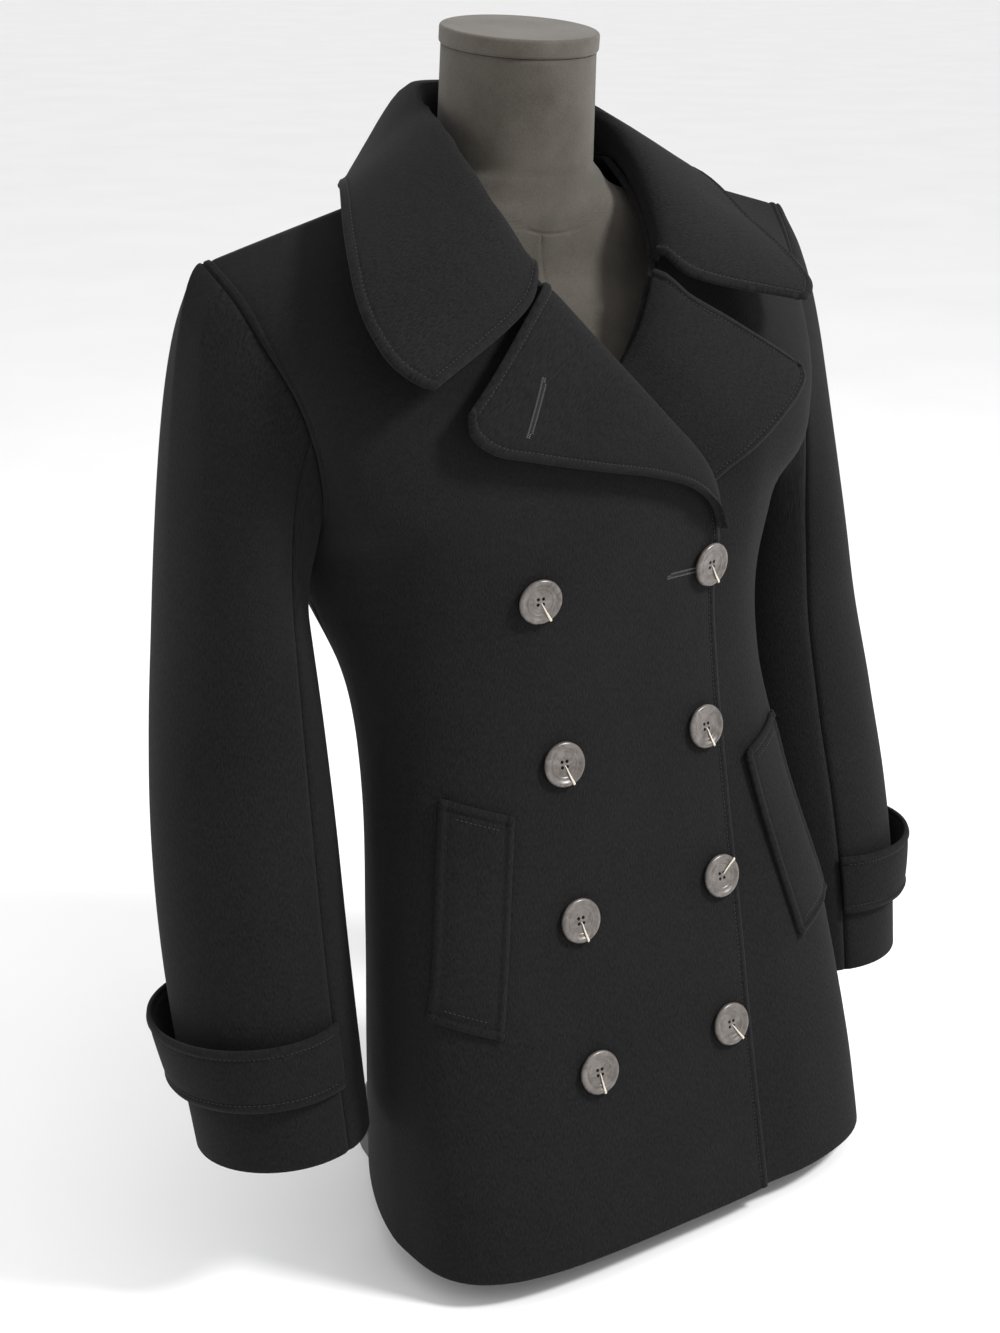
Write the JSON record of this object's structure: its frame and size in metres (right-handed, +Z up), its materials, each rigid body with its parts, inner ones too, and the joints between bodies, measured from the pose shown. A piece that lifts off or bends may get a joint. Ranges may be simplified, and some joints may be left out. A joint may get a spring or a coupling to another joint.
{
  "type": "pea coat on a dress form",
  "caption": "Double-breasted wool coat with broad collar and lapels, slanted pocket welts and cuff straps, worn by a limbless dress form.",
  "frame": {"origin": "centre of the dress form's round base plate, on the plane it stands on", "axes": "+Z up; -Y is the way the coat faces; +X is the wearer's left"},
  "size_m": [0.6472, 0.327, 0.8147],
  "materials": {
    "coat_wool": "matte brushed wool",
    "button_horn": "satin",
    "form_felt": "matte felt",
    "form_cap": "matte felt",
    "form_base": "matte"
  },
  "bodies": {
    "root": {"front_right": "coat_wool", "front_left": "coat_wool", "back": "coat_wool", "topsleeve_right": "coat_wool", "undersleeve_right": "coat_wool", "topsleeve_left": "coat_wool", "undersleeve_left": "coat_wool", "collar": "coat_wool", "lapel_right": "coat_wool", "lapel_left": "coat_wool", "welt_right": "coat_wool", "welt_left": "coat_wool", "strap_right": "coat_wool", "strap_left": "coat_wool", "button_right_1": "button_horn", "button_right_2": "button_horn", "button_right_3": "button_horn", "button_right_4": "button_horn", "button_left_1": "button_horn", "button_left_2": "button_horn", "button_left_3": "button_horn", "button_left_4": "button_horn", "dress_form": "form_felt", "neck_cap": "form_cap", "form_base": "form_base"}
  },
  "joints": []
}
